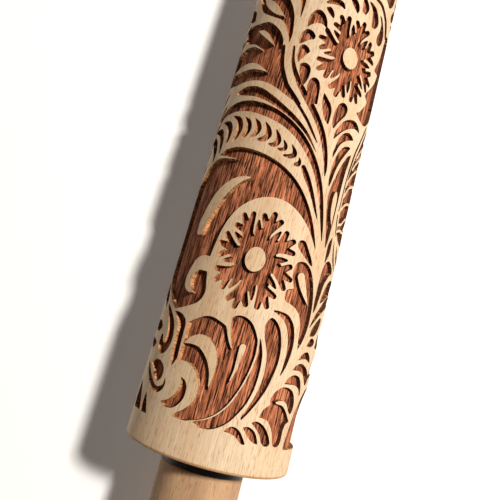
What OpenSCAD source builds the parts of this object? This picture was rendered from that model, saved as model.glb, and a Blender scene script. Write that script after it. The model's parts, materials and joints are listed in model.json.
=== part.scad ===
// Embossing rolling pin: an engraved beech barrel that turns on a fixed steel axle.
// The axle lies along X with the barrel's centre at the origin, +Z up, millimetres.
// Each end of the barrel holds a ball bearing in a nylon cup, and each handle is
// screwed onto the axle by a brass insert, so the handles stay still as it rolls.
// A black nylon ring covers the inner end of each handle.

/* [Barrel] */
// Outside diameter of the barrel
barrel_d = 50; // [40:1:70]
// Length of the barrel
barrel_len = 200; // [140:5:260]
// Radius of the rounded edge at each end of the barrel
barrel_edge_r = 0.8; // [0.4:0.1:2]
// Diameter of the bore that clears the axle
barrel_bore_d = 13; // [12:0.5:15]

/* [Handles] */
// Diameter of the straight dowel handles
handle_d = 25.4; // [20:0.2:32]
// Length of each handle
handle_len = 88; // [70:1:120]
// Radius of the rounded outer end of a handle
handle_end_r = 6; // [2:0.5:9]
// Radius of the rounded edge of a handle beside its ring
handle_edge_r = 0.4; // [0.3:0.1:2]
// Length of the black ring on the inner end of each handle
ferrule_len = 2.8; // [2:0.1:6]
// Diameter of the handle's tenon inside that ring
tenon_d = 20; // [18:0.5:22]
// Gap between the barrel's end and the handle
handle_gap = 1.5; // [1:0.1:4]

/* [Axle] */
// Diameter of the axle between the bearings
axle_d = 10; // [9:0.5:11]
// How far the axle runs into each handle
axle_grip = 32; // [25:1:40]
// Depth of each brass insert in its handle
insert_len = 20; // [12:1:24]
// Outside diameter of the brass inserts
insert_d = 12; // [10:0.5:14]

/* [Bearings] */
// Bore of the bearing, which is the axle's journal diameter
bearing_bore = 8; // [8]
// Outside diameter of the bearing
bearing_od = 22; // [22]
// Width of the bearing
bearing_w = 7; // [7]
// Number of balls in each bearing
ball_count = 7; // [6:1:7]
// Diameter of each ball
ball_d = 3.969; // [3.5:0.001:4]
// Outside diameter of the nylon cup
cup_d = 26; // [25:0.5:28]
// Outside diameter of the cup's flange
cup_flange_d = 30; // [28:0.5:34]
// Thickness of the cup's flange, and of its lip past the bearing
cup_flange_t = 1; // [0.8:0.1:1.5]
// Thickness of the cup's inner wall
cup_wall = 1.5; // [1:0.1:2]

/* [Hidden] */

$fn = 96;
cut = 1;                                  // how far a cutting solid runs past its part
barrel_r = barrel_d / 2;
barrel_end = barrel_len / 2;
handle_r = handle_d / 2;
handle_start = barrel_end + handle_gap;
wood_start = handle_start + ferrule_len;  // where the handle has its full diameter
bearing_out = barrel_end - cup_flange_t;  // outer face of the bearing, along X
bearing_in = bearing_out - bearing_w;     // inner face of the bearing, which is the axle's shoulder
bearing_mid = bearing_out - bearing_w / 2;
pitch_r = (bearing_od + bearing_bore) / 4;
groove_r = ball_d / 2 + 0.075;            // race grooves, a running clearance over the balls
outer_shoulder_r = pitch_r + 1.3;         // inside radius of the outer race
inner_shoulder_r = pitch_r - 1.45;        // outside radius of the inner race
recess_r = outer_shoulder_r + 0.8;        // step in the outer race that holds a shield
recess_depth = 0.6;
shield_t = 0.35;
shield_inset = 0.2;                       // shield below the race's face
shield_bore_r = inner_shoulder_r + 0.25;
cage_in_r = inner_shoulder_r + 0.55;
cage_out_r = outer_shoulder_r - 0.4;
cage_w = 5;
pocket_r = ball_d / 2 + 0.08;             // cage pockets, a running clearance over the balls
cup_hole_r = 7;                           // hole in the cup's inner wall, clear of the axle
cup_in = bearing_in - cup_wall;
spacer_d = inner_shoulder_r * 2 - 0.1;    // bears on the inner race only
journal_r = bearing_bore / 2;
journal_end = handle_start + axle_grip;
rod_chamfer = 0.6;
drill_r = 4.3;                            // drilled hole in the handle, past its insert
drill_extra = 3;                          // room past the end of the axle
wood_pale = [0.86, 0.72, 0.52];
wood_grey = [0.66, 0.56, 0.44];
cream_nylon = [0.75, 0.72, 0.62];
black_nylon = [0.12, 0.12, 0.12];
steel = [0.62, 0.63, 0.65];
bright_steel = [0.75, 0.76, 0.78];
brass = [0.78, 0.6, 0.3];

// Turns a solid that stands on Z so that it lies along X.
module along_x() {
    rotate([0, 90, 0]) children();
}

// Places a right-hand piece, or its mirror image on the left.
module on_side(side) {
    if (side == "right") children();
    else mirror([1, 0, 0]) children();
}

// A ring around X, from x0 to x1 and from radius r0 to r1.
module ring_x(x0, x1, r0, r1) {
    translate([x0, 0, 0]) along_x() difference() {
        cylinder(h = x1 - x0, r = r1);
        translate([0, 0, -cut]) cylinder(h = x1 - x0 + 2 * cut, r = r0);
    }
}

// A solid bar around X, from x0 to x1, with radius r.
module bar_x(x0, x1, r) {
    translate([x0, 0, 0]) along_x() cylinder(h = x1 - x0, r = r);
}

// Quarter-round waste at the outer top corner of a turned outline.
module corner_waste(r, end, round_r) {
    difference() {
        translate([r - round_r, end - round_r]) square([round_r + cut, round_r + cut]);
        translate([r - round_r, end - round_r]) circle(r = round_r);
    }
}

// A turned bar with a rounded edge at each end, along X from x0 to x1.
module turned_bar(x0, x1, r, round_0, round_1) {
    translate([x0, 0, 0]) along_x() rotate_extrude() difference() {
        square([r, x1 - x0]);
        corner_waste(r, x1 - x0, round_1);
        translate([0, x1 - x0]) mirror([0, 1]) corner_waste(r, x1 - x0, round_0);
    }
}

// Torus-shaped groove that the balls run in, around X at the bearing's middle.
module ball_groove() {
    translate([bearing_mid, 0, 0]) along_x()
        rotate_extrude() translate([pitch_r, 0]) circle(r = groove_r);
}

module engraved_barrel() {
    color(wood_pale) difference() {
        turned_bar(-barrel_end, barrel_end, barrel_r, barrel_edge_r, barrel_edge_r);
        bar_x(-barrel_end - cut, barrel_end + cut, barrel_bore_d / 2);
        for (side = ["left", "right"]) on_side(side) {
            bar_x(cup_in, barrel_end + cut, cup_d / 2);
            bar_x(barrel_end - cup_flange_t, barrel_end + cut, cup_flange_d / 2);
        }
    }
}

module axle_rod() {
    color(steel) along_x() rotate_extrude() polygon([
        [0, -journal_end],
        [journal_r - rod_chamfer, -journal_end],
        [journal_r, -journal_end + rod_chamfer],
        [journal_r, -bearing_in],
        [axle_d / 2, -bearing_in],
        [axle_d / 2, bearing_in],
        [journal_r, bearing_in],
        [journal_r, journal_end - rod_chamfer],
        [journal_r - rod_chamfer, journal_end],
        [0, journal_end],
    ]);
}

module bearing_cup(side) {
    color(black_nylon) on_side(side) difference() {
        union() {
            bar_x(cup_in, barrel_end, cup_d / 2);
            bar_x(barrel_end - cup_flange_t, barrel_end, cup_flange_d / 2);
        }
        bar_x(bearing_in, barrel_end + cut, bearing_od / 2);
        bar_x(cup_in - cut, bearing_in + cut, cup_hole_r);
    }
}

module outer_race(side) {
    color(bright_steel) on_side(side) difference() {
        ring_x(bearing_in, bearing_out, outer_shoulder_r, bearing_od / 2);
        bar_x(bearing_in - cut, bearing_in + recess_depth, recess_r);
        bar_x(bearing_out - recess_depth, bearing_out + cut, recess_r);
        ball_groove();
    }
}

module inner_race(side) {
    color(bright_steel) on_side(side) difference() {
        ring_x(bearing_in, bearing_out, journal_r, inner_shoulder_r);
        ball_groove();
    }
}

module bearing_balls(side) {
    color(bright_steel) on_side(side)
        for (i = [0 : ball_count - 1])
            translate([bearing_mid, 0, 0]) rotate([i * 360 / ball_count, 0, 0])
                translate([0, 0, pitch_r]) sphere(d = ball_d);
}

module ball_cage(side) {
    color(cream_nylon) on_side(side) difference() {
        ring_x(bearing_mid - cage_w / 2, bearing_mid + cage_w / 2, cage_in_r, cage_out_r);
        for (i = [0 : ball_count - 1])
            translate([bearing_mid, 0, 0]) rotate([i * 360 / ball_count, 0, 0])
                cylinder(h = bearing_od / 2, r = pocket_r);
    }
}

module bearing_shields(side) {
    color(bright_steel) on_side(side) {
        ring_x(bearing_in + shield_inset, bearing_in + shield_inset + shield_t,
               shield_bore_r, recess_r);
        ring_x(bearing_out - shield_inset - shield_t, bearing_out - shield_inset,
               shield_bore_r, recess_r);
    }
}

module thrust_spacer(side) {
    color(steel) on_side(side) ring_x(bearing_out, handle_start, journal_r, spacer_d / 2);
}

module threaded_insert(side) {
    color(brass) on_side(side)
        ring_x(handle_start, handle_start + insert_len, journal_r, insert_d / 2);
}

module handle(side) {
    color(wood_grey) on_side(side) difference() {
        union() {
            turned_bar(wood_start, handle_start + handle_len, handle_r,
                       handle_edge_r, handle_end_r);
            bar_x(handle_start, wood_start + cut, tenon_d / 2);
        }
        bar_x(handle_start - cut, handle_start + insert_len, insert_d / 2);
        bar_x(handle_start, journal_end + drill_extra, drill_r);
    }
}

module handle_ferrule(side) {
    color(black_nylon) on_side(side) ring_x(handle_start, wood_start, tenon_d / 2, handle_r);
}

engraved_barrel();
axle_rod();
bearing_cup("left");  // bearing_cup_left
bearing_cup("right");  // bearing_cup_right
outer_race("left");  // outer_race_left
outer_race("right");  // outer_race_right
inner_race("left");  // inner_race_left
inner_race("right");  // inner_race_right
bearing_balls("left");  // bearing_balls_left
bearing_balls("right");  // bearing_balls_right
ball_cage("left");  // ball_cage_left
ball_cage("right");  // ball_cage_right
bearing_shields("left");  // bearing_shields_left
bearing_shields("right");  // bearing_shields_right
thrust_spacer("left");  // thrust_spacer_left
thrust_spacer("right");  // thrust_spacer_right
threaded_insert("left");  // threaded_insert_left
threaded_insert("right");  // threaded_insert_right
handle("left");  // handle_left
handle("right");  // handle_right
handle_ferrule("left");  // handle_ferrule_left
handle_ferrule("right");  // handle_ferrule_right
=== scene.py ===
"""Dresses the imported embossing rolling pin: carved beech barrel, beech grips, steel and nylon bearings.

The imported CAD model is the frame, in metres, with the pin's axis along X. The barrel's relief is painted
as a signed-distance field on the unrolled surface, in millimetres: u runs round the barrel and v runs
along it from the end at -X. Values above zero stay raised and values below zero are engraved. The same
tile is laid twice round the barrel, and the far end carries the near end's scrolls turned about.
"""
import json
import math

import bpy
import numpy as np
from mathutils import Matrix, Vector
from mathutils.geometry import delaunay_2d_cdt


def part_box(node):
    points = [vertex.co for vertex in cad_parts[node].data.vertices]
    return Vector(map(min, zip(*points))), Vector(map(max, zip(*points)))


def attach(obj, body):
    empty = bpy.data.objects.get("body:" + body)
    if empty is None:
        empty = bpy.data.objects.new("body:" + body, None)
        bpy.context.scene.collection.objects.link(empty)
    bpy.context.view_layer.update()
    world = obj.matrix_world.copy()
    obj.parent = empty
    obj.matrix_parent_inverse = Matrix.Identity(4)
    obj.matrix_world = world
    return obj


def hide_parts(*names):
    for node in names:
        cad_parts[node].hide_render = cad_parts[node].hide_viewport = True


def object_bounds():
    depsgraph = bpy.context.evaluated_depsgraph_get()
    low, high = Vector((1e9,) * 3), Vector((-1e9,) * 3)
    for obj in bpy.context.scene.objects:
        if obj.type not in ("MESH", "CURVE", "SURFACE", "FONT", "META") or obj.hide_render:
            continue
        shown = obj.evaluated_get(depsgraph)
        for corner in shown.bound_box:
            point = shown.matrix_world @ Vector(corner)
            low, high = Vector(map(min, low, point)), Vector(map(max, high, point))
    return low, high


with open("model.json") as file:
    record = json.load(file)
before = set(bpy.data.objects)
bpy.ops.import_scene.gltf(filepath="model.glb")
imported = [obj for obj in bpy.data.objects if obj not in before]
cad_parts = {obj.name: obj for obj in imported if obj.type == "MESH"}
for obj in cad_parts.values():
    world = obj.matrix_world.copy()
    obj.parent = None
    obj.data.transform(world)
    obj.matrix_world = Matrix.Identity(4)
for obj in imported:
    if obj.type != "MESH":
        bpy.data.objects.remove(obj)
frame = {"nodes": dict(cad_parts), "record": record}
CAD_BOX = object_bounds()

MM = 0.001
BARREL_LOW, BARREL_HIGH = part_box("engraved_barrel")
FLOOR_Z = CAD_BOX[0][2]
RADIUS = BARREL_HIGH[2] / MM
LENGTH = (BARREL_HIGH[0] - BARREL_LOW[0]) / MM
TILE = math.pi * RADIUS

ENGRAVE_DEPTH = 1.25
WALL_DRAFT = 0.14
MARGIN = 8.0
EDGE_ROUND = 0.8
RECESS_RADIUS = 15.0
RECESS_DEPTH = 1.0
CUP_RADIUS = 13.01
CUP_DEPTH = 9.5
BORE_RADIUS = 6.5

GRID_STEP = 0.2
FIELD_TOP = 9.0
RING_SIDES = 96
OUTLINE_TOLERANCE = 0.02
STREAK_HEIGHT = 0.07


# ---------------------------------------------------------------- relief painter

def smooth(points, per_mm=4.0, closed=False):
    """A Catmull-Rom curve through rows of (u, v) or (u, v, half width)."""
    rows = np.asarray(points, float)
    if closed:
        padded = np.vstack([rows[-1], rows, rows[0], rows[1]])
    else:
        padded = np.vstack([2 * rows[0] - rows[1], rows, 2 * rows[-1] - rows[-2]])
    out = []
    for before, start, end, after in zip(padded, padded[1:], padded[2:], padded[3:]):
        steps = max(2, int(np.hypot(*(end - start)[:2]) * per_mm))
        t = np.arange(steps)[:, None] / steps
        bend = 2 * before - 5 * start + 4 * end - after
        twist = 3 * start - before - 3 * end + after
        out.append(0.5 * (2 * start + (end - before) * t + bend * t**2 + twist * t**3))
    if not closed:
        out.append(rows[-1:])
    return np.vstack(out)


def outline(points):
    """A closed outline, smooth through its points but sharp at those written (u, v, 1)."""
    corners = [i for i, point in enumerate(points) if len(point) > 2]
    flat = [point[:2] for point in points]
    if not corners:
        return smooth(flat, closed=True)
    first = corners[0]
    flat = flat[first:] + flat[:first] + [flat[first]]
    stops = [corner - first for corner in corners] + [len(flat) - 1]
    out = []
    for a, b in zip(stops, stops[1:]):
        span = flat[a:b + 1]
        out.append(smooth(span)[:-1] if len(span) > 2 else np.asarray(span[:-1], float))
    return np.vstack(out)


class Relief:
    """A signed-distance field over one tile, periodic in u: above zero raised, below zero engraved."""

    def __init__(self, step):
        self.columns = round(TILE / step)
        self.du = TILE / self.columns
        self.rows = round(LENGTH / step) + 1
        self.dv = LENGTH / (self.rows - 1)
        self.u0 = -TILE / 2
        self.field = np.full((self.rows, self.columns), FIELD_TOP)

    def _window(self, low, high, margin=1.2):
        """The columns, rows and places of the grid round a box, with a margin for the blend."""
        i0 = int((low[0] - margin - self.u0) // self.du)
        i1 = int((high[0] + margin - self.u0) // self.du) + 1
        i = np.arange(i0, i1 + 1)
        j0 = max(0, int((low[1] - margin) // self.dv))
        j1 = min(self.rows - 1, int((high[1] + margin) // self.dv) + 1)
        j = np.arange(j0, j1 + 1)
        u, v = np.meshgrid(self.u0 + i * self.du, j * self.dv)
        return i % self.columns, j, u, v

    def _blend(self, raised, distance, i, j):
        """Joins a shape to the field: a raised one adds to what stands, an engraved one takes away."""
        if i.size and j.size:
            old = self.field[np.ix_(j, i)]
            new = np.maximum(old, -distance) if raised else np.minimum(old, distance)
            self.field[np.ix_(j, i)] = new

    def _stroke(self, raised, points):
        """Blends in a smooth stroke of (u, v, half width)."""
        path = smooth(points)
        path[:, 2] = np.maximum(path[:, 2], 0.02)
        reach = path[:, 2].max()
        i, j, u, v = self._window(path[:, :2].min(0) - reach, path[:, :2].max(0) + reach)
        distance = np.full(u.shape, FIELD_TOP)
        for pu, pv, half_width in path:
            np.minimum(distance, np.hypot(u - pu, v - pv) - half_width, out=distance)
        self._blend(raised, distance, i, j)

    def _shape(self, raised, points):
        """Blends in the inside of a closed outline."""
        corners = outline(points)
        i, j, u, v = self._window(corners.min(0), corners.max(0))
        squared = np.full(u.shape, FIELD_TOP**2)
        inside = np.zeros(u.shape, bool)
        for (au, av), (bu, bv) in zip(corners, np.roll(corners, -1, axis=0)):
            eu, ev = bu - au, bv - av
            t = np.clip(((u - au) * eu + (v - av) * ev) / (eu * eu + ev * ev + 1e-12), 0, 1)
            np.minimum(squared, (u - au - t * eu) ** 2 + (v - av - t * ev) ** 2, out=squared)
            if ev:
                inside ^= ((av > v) != (bv > v)) & (u < au + (v - av) * eu / ev)
        distance = np.sqrt(squared)
        distance[inside] *= -1
        self._blend(raised, distance, i, j)

    def cut(self, *points):
        """Engraves inside a closed outline."""
        self._shape(False, points)

    def keep(self, *points):
        """Leaves the inside of a closed outline raised."""
        self._shape(True, points)

    def carve(self, *points):
        """Engraves along a stroke of (u, v, half width)."""
        self._stroke(False, points)

    def ridge(self, *points):
        """Leaves a stroke of (u, v, half width) raised."""
        self._stroke(True, points)


# ---------------------------------------------------------------- the pattern

FLOWER_CENTRES = [(-0.75, 56.05), (12.15, 126.35)]
PETALS = 8
PETAL_PHASE = 79.0
FLOWER_STRETCH = 1.25
PETAL_FINGERS = [
    [(0, 4.6, 1.2), (0, 8.2, 1.3), (0, 10.2, .95), (0, 11.4, .8)],
    [(1, 6.2, .9), (7.5, 8.2, 1), (12.5, 9.6, .9), (14.4, 10.3, .8)],
    [(-1, 6.2, .9), (-7, 8.4, 1), (-11.5, 10, .9), (-13.4, 10.8, .8)],
    [(12.5, 5.2, .8), (12.5, 7, .5)],
]
SMALL_FINGER = [(0, 4.6, .95), (0, 7.2, .85), (0, 9, .35)]
FLOWER_WELL = 5.8
FLOWER_HEART = 2.85


def flower(s, u, v):
    """A rosette of three-fingered petals, with a small finger between each pair, round a raised heart."""
    def at(angle, r):
        turn = math.radians(angle)
        return u + r * math.cos(turn), v + FLOWER_STRETCH * r * math.sin(turn)

    def finger(angle, rows):
        s.carve(*[(*at(angle + lean, r), half_width) for lean, r, half_width in rows])

    circle = range(0, 360, 15)
    s.cut(*[at(angle, FLOWER_WELL) for angle in circle])
    for k in range(PETALS):
        angle = PETAL_PHASE + 360 / PETALS * k
        for rows in PETAL_FINGERS:
            finger(angle, rows)
        finger(angle + 180 / PETALS, SMALL_FINGER)
    s.keep(*[at(angle, FLOWER_HEART) for angle in circle])


def lower_scroll(s):
    """The bowl of blades and crescents above the plain margin."""
    s.cut((-15, 34.8, 1), (-12.8, 36.2), (-10.3, 37.5), (-8, 37.8), (-5.2, 37), (-3.4, 36.2, 1),
          (-2.9, 38.3), (-1.6, 39.7), (0.5, 40), (2.7, 39.1), (4.3, 37.3), (5.6, 35, 1), (6.1, 35.9, 1),
          (7.2, 33.7), (8.1, 30.8), (8.4, 27), (8.2, 23), (7.3, 19), (5.8, 15.8), (3.7, 12.7), (1.4, 10.7),
          (-1, 9.6), (-3.4, 9.4), (-4.4, 10, 1), (-6, 10.2), (-8.5, 9.9), (-11.8, 10, 1), (-10.8, 11.2),
          (-9.1, 12.4), (-7.4, 14.4), (-6.5, 17), (-6.8, 19.8), (-8.3, 22.4), (-10.5, 24), (-13, 24.5),
          (-15, 24, 1), (-14.9, 29))
    s.ridge((-3.6, 38.5, .9), (-2.7, 35.5, .5), (-1.6, 32.8, .35), (-0.5, 30.5, .05))
    s.ridge((5.6, 36.4, .3), (6.15, 33.5, .28), (6.2, 30, .24), (5.6, 26, .22), (4.4, 21.5, .2),
            (2.5, 17, .2), (0.2, 13.9, .18), (-2.2, 12, .16), (-4.6, 10.9, .14), (-7, 10.2, .1))
    s.ridge((2.2, 32, .85), (2, 29, .62), (1.8, 26, .4), (1.3, 23.6, .2), (0.9, 22, .05))
    s.ridge((-14.5, 29.1, .1), (-12, 30.4, 1.05), (-9, 30.7, 1.75), (-6.4, 29, 1.75), (-4.8, 26.3, 1.25),
            (-4.05, 23, .6), (-3.95, 19.2, .05))
    s.carve((-12.3, 20.2, .1), (-11, 18.6, .9), (-11.1, 15.8, 1.4), (-12.7, 13.4, 1.4), (-15, 12.5, .8),
            (-16.8, 12.7, .1))
    s.cut((-18.5, 33.2, 1), (-15.8, 34, 1), (-15.6, 29), (-15.3, 24.6, 1), (-16.3, 22.7), (-17, 22.2, 1),
          (-17.8, 24.5), (-18.4, 28.5))
    s.cut((6.6, 13.7, 1), (6.5, 14.9), (8, 18.2), (9.3, 22.5), (9.75, 27), (9.3, 31.3), (8, 34.5),
          (6.9, 37.5), (6.8, 40), (8, 41.7), (9.8, 41), (11.6, 38.8), (12.9, 35), (13.3, 31), (12.7, 27),
          (11.6, 22.8), (10, 19.2), (8, 15.7))
    s.carve((7.6, 43.75, .1), (10, 43.5, .6), (12.6, 42.6, 1.1), (14.6, 40.4, 1.25), (15.8, 37.2, 1.15),
            (16.1, 33.5, .85), (15.7, 30, .55), (14.8, 26.9, .1))


def left_scroll(s):
    """Hooks and commas left of the bowl, down to the margin."""
    s.cut((-22.3, 37, 1), (-20, 37.1), (-17.5, 36.3), (-16.1, 34.8), (-16, 33.2), (-17.2, 32.6),
          (-18.5, 33.2), (-19.8, 35))
    s.carve((-27.3, 38.7, .15), (-24.8, 36.6, .8), (-22.2, 33.6, 1.35), (-21, 30, 1.6), (-21.6, 27, 1.7),
            (-23.3, 26, 1.6), (-24.9, 27.3, 1.3), (-25.2, 29.2, .7))
    s.cut((-26.4, 21.6, 1), (-24, 22.8), (-21.5, 22.6), (-19.6, 21.4), (-18.9, 19.6), (-19.6, 17.8),
          (-21, 17.1), (-22.6, 17.9), (-24.3, 19.6), (-26.2, 20.8))
    s.carve((-29.6, 21.8, .1), (-27.4, 19.6, .6), (-24.8, 17.3, .8), (-22, 15.6, .8), (-19.8, 15, .85),
            (-18, 16, .7), (-17.5, 17.6, .45), (-17.8, 18.8, .1))
    s.cut((-24.5, 13.4, 1), (-23.4, 12), (-21, 7.5, 1), (-22.5, 7.1), (-24.9, 7.6, 1), (-25.2, 10.5))
    s.cut((-30.8, 16.2, 1), (-28.8, 13.6), (-26.6, 10.2), (-25.2, 7.3, 1), (-28, 6.9), (-31.5, 7.6, 1),
          (-32, 12))
    s.carve((-31.5, 32.3, 1.7), (-29.5, 32, 1.6), (-28, 31.9, .8))
    s.carve((-34.5, 44.2, 1.8), (-32, 42.2, 1.8), (-30, 40, 1.2), (-29.4, 38.2, .4))
    s.carve((-33.5, 27.5, 1), (-30.5, 26.6, 1.3), (-28.6, 26.8, .5))


def right_crescents(s):
    """Crescents that climb from the margin, right of the bowl."""
    s.cut((2.8, 10.1, 1), (4, 11.4), (5.4, 11.8), (7.2, 11), (8.7, 9.2), (9.3, 8.2), (8.8, 7.8), (7.6, 8.5),
          (6.2, 9.5), (4.6, 10))
    s.cut((7.7, 12.2, 1), (9.3, 12.6), (11.3, 11.7), (12.6, 9.9), (13, 8.7, 1), (12, 8.8), (10.3, 9.6),
          (8.9, 10.8))
    s.cut((9.7, 13.8, 1), (11.4, 14.4), (13.8, 13.5), (15.9, 11.5), (17, 9.7), (16.7, 8.7), (15.3, 8.5),
          (14, 9.4), (12.9, 11.2), (11.3, 12.6))
    s.cut((11.5, 15.5, 1), (12.3, 17.7), (14.1, 19.3, 1), (13.7, 20.6), (14.7, 22.8), (16.6, 24.3),
          (19, 24.7), (21.5, 24), (23.2, 22.2), (23.9, 20), (23.5, 18.2), (22.7, 17.7, 1), (21.5, 18.6),
          (20.2, 20.2), (18.4, 20.9), (16.6, 20.6), (15.5, 20.1, 1), (16.6, 19.8), (18.6, 19.6),
          (20.6, 18.3), (23.2, 15.7, 1), (21.8, 14.9, 1), (21.3, 13), (21.4, 10.5), (20.8, 9.1),
          (19.6, 8.6), (18.4, 9), (17.6, 10.6), (16.6, 12.8), (14.6, 14.9), (13, 15.4))
    s.cut((17.2, 25.4, 1), (17.9, 26.8), (19.4, 28), (21.5, 28.5), (23.9, 27.8), (25.5, 25.7), (26.2, 23.5),
          (25.8, 22.9, 1), (24.9, 24.4), (23.3, 25.4), (21, 25.7))
    s.cut((19.1, 29.6, 1), (20.5, 31.2), (23, 32), (26, 31.3), (28.4, 30), (30, 28.2), (29.6, 26.7),
          (28.3, 26.3), (26.8, 27.6), (25, 29.1), (22.5, 29.8))
    s.cut((20.6, 32.6, 1), (21.9, 34.4), (24.3, 35.6), (26.5, 35), (28, 33.4), (28.1, 32.7, 1),
          (26.4, 33.2), (24, 33.5))
    s.cut((23.3, 37.2, 1), (24.3, 39.2), (26, 39.9), (27.8, 39.3), (28, 38.5), (26.6, 37.5), (24.6, 37.1))
    s.cut((23.6, 40, 1), (24, 42.4), (26.2, 45), (28.6, 46.6), (29.8, 45.8), (28.8, 43), (27, 41),
          (25, 40.2))
    s.cut((23.4, 7.8, 1), (23.5, 10.5), (24.4, 14.5), (25.6, 18.5), (27.5, 22), (30, 24.6), (33.5, 25.6),
          (38, 24.5), (41.5, 21), (43.6, 15), (43.8, 7.6, 1), (34, 7.6))
    s.carve((22.3, 42.3, .1), (23.4, 44.2, .5), (25.2, 46.6, .9), (27.5, 49, 1.3), (30.5, 51.2, 1.8),
            (34, 52.6, 1.8))


def right_paisley(s):
    """The looped paisley right of the lower flower, with its two teardrops."""
    s.cut((19.1, 35.3, 1), (20.4, 37.6), (21.3, 40.6), (21.6, 44), (21.3, 48), (20.3, 52), (18.8, 55.4),
          (17, 58), (15, 59.4), (13.2, 59.6), (11.6, 58.8), (10.8, 57), (10.9, 54.8), (11.6, 53),
          (12.4, 51.4, 1), (11, 50.8), (10, 49.9), (10.1, 48.3), (10.8, 47.2), (12.6, 46.8), (14.8, 46),
          (16.8, 44.2), (18, 41.5), (18.4, 38.5))
    s.ridge((13.95, 55.2, 1.25), (15.2, 53, 1.15), (16.8, 50.8, .75), (18.8, 48.4, .1))
    s.carve((11.7, 64, 1.55), (13.4, 62.4, 1.25), (15.2, 60.9, .85), (16.4, 59.7, .4))


def dome(s):
    """The paisley body round the lower flower, with the crescent and hook at its left."""
    s.cut((-20.5, 88.5, 1), (-16, 89), (-12, 88.6), (-8, 87.8), (-4, 86.6), (0, 84.9), (4, 82.4), (7, 79.8),
          (10, 76.4), (12.5, 72.8), (14.6, 69), (16, 66), (16.7, 63.9, 1), (15.2, 66), (13, 68.6),
          (10, 71.3), (7, 73.3), (4, 74.5), (1, 74.9), (-2, 74.5), (-5, 73.3), (-7.7, 71.4), (-10, 68.9),
          (-11.6, 66), (-12.8, 62.5), (-13.6, 58.5), (-14.2, 54, 1), (-13.8, 50.5, 1), (-13.1, 47.4),
          (-12.4, 44.6), (-12.8, 42.3), (-14, 40.7), (-15.8, 39.7), (-18, 38.9), (-20.2, 38.2),
          (-22.5, 37.7, 1), (-25.4, 39.8), (-29, 42.6), (-33.5, 47), (-36.5, 54), (-37, 61), (-36.5, 68),
          (-34, 76), (-30.5, 81.5), (-27.4, 84.4), (-24.5, 86.2), (-22.5, 87.4))
    s.ridge((-8.2, 79.4, .1), (-11, 78.7, .8), (-14.3, 76.6, 1.5), (-17.2, 73.3, 1.95), (-19.4, 69, 1.95),
            (-21, 65, 1.7), (-21.4, 62, 1.5))
    s.ridge((-14.6, 85, .05), (-17, 85.3, .2), (-20, 85.9, .35), (-23, 86.2, .6), (-26.5, 85.2, .9),
            (-31, 82, 1.2), (-35, 77, 1.2))
    s.ridge((-14, 52, 2.2), (-17, 52, 2.1), (-19.3, 49.6, 1.35), (-20.1, 47, 1.25), (-19.6, 45, 1.1),
            (-18.4, 43.9, .75), (-17, 43.3, .2))


COMB = [
    [(-32, 94.5, 1), (-29, 92, 1.4), (-27, 88.5, 1), (-26.5, 85.5, .3)],
    [(-31, 97.2, .6), (-27, 95.8, 1.2), (-24.9, 93, 1.1), (-24.1, 90, .75), (-23.8, 87.8, .2)],
    [(-26.8, 99.2, .2), (-23.6, 98.1, 1), (-21.7, 95.8, 1.25), (-21.3, 93, .95), (-21.4, 91.2, .4)],
    [(-21.7, 100.4, .15), (-18.7, 98.6, 1), (-17.3, 95.8, 1.25), (-17.7, 93, 1), (-18.5, 91.2, .4)],
    [(-16.1, 99.2, .15), (-14.4, 97.4, .85), (-13.8, 95, 1.1), (-14.6, 92.9, .85), (-15.8, 92, .3)],
    [(-12.3, 98.6, .15), (-10.9, 96.8, .8), (-10.3, 95, 1), (-11, 93.3, .8), (-12.2, 92.4, .3)],
    [(-8.6, 97.6, .15), (-7.2, 95.4, .8), (-6.7, 93.4, 1), (-7.8, 92, .95), (-9.6, 91.6, .4)],
    [(-4.8, 95.7, .15), (-3.6, 93.6, .65), (-3.3, 91.9, .85), (-4.2, 90.7, .8), (-5.8, 90.6, .3)],
    [(-1.9, 92.9, .15), (-0.9, 91.4, .5), (-0.8, 90.2, .6), (-1.9, 89.6, .55), (-2.9, 89.8, .2)],
    [(0.9, 92, .15), (2.1, 90.3, .6), (2.2, 89, .8), (1, 88.2, .7), (-0.6, 88.1, .3)],
    [(3.7, 88.9, .1), (4.3, 87.9, .4), (4.1, 86.7, .75), (3.3, 86.3, .55)],
    [(5.9, 86.3, .75), (7.5, 84, .95), (9.5, 81.2, .8), (11.5, 78, .6), (13.2, 75, .4), (14.6, 72.8, .1)],
]


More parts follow.
